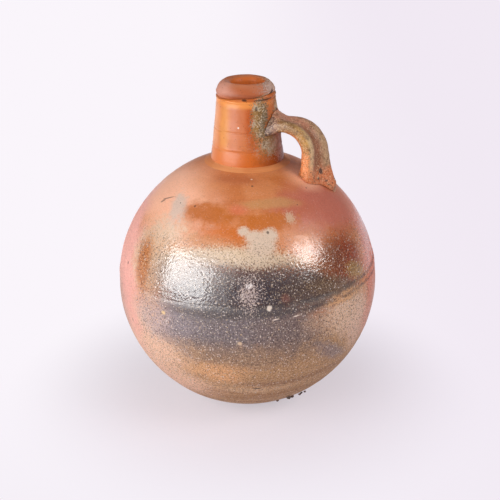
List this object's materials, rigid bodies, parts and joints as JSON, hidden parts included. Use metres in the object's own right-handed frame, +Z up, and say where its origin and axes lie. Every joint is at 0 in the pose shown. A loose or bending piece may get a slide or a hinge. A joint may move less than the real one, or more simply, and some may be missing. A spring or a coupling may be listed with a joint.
{
  "type": "pilgrim flask",
  "caption": "Round-bodied stoneware flask with a flat base, a short grooved neck, a rolled lip with a corkable mouth and one strap handle from neck to shoulder.",
  "frame": {"origin": "middle of the flat base, on the surface that the flask stands on", "axes": "+Z up through the mouth, +X from the axis towards the handle, +Y completes the right-handed frame"},
  "size_m": [0.2, 0.2, 0.2535],
  "materials": {
    "bare_stoneware": "matte, speckled with ochre and grey",
    "salt_glazed_body": "glossy salt glaze with orange-peel texture",
    "seam_clay": "matte grey-brown",
    "salt_glazed_neck": "glossy orange-brown salt glaze",
    "glazed_lip": "satin brown glaze",
    "glazed_handle": "glossy olive-brown ash glaze",
    "kiln_sand": "rough"
  },
  "bodies": {
    "root": {"lower_bowl": "bare_stoneware", "upper_bowl": "salt_glazed_body", "belly_seam": "seam_clay", "neck_tube": "salt_glazed_neck", "neck_slip_ring": "salt_glazed_neck", "lip_collar": "glazed_lip", "handle_root": "glazed_handle", "handle_strap": "glazed_handle", "handle_foot": "glazed_handle", "kiln_grit": "kiln_sand"}
  },
  "joints": []
}
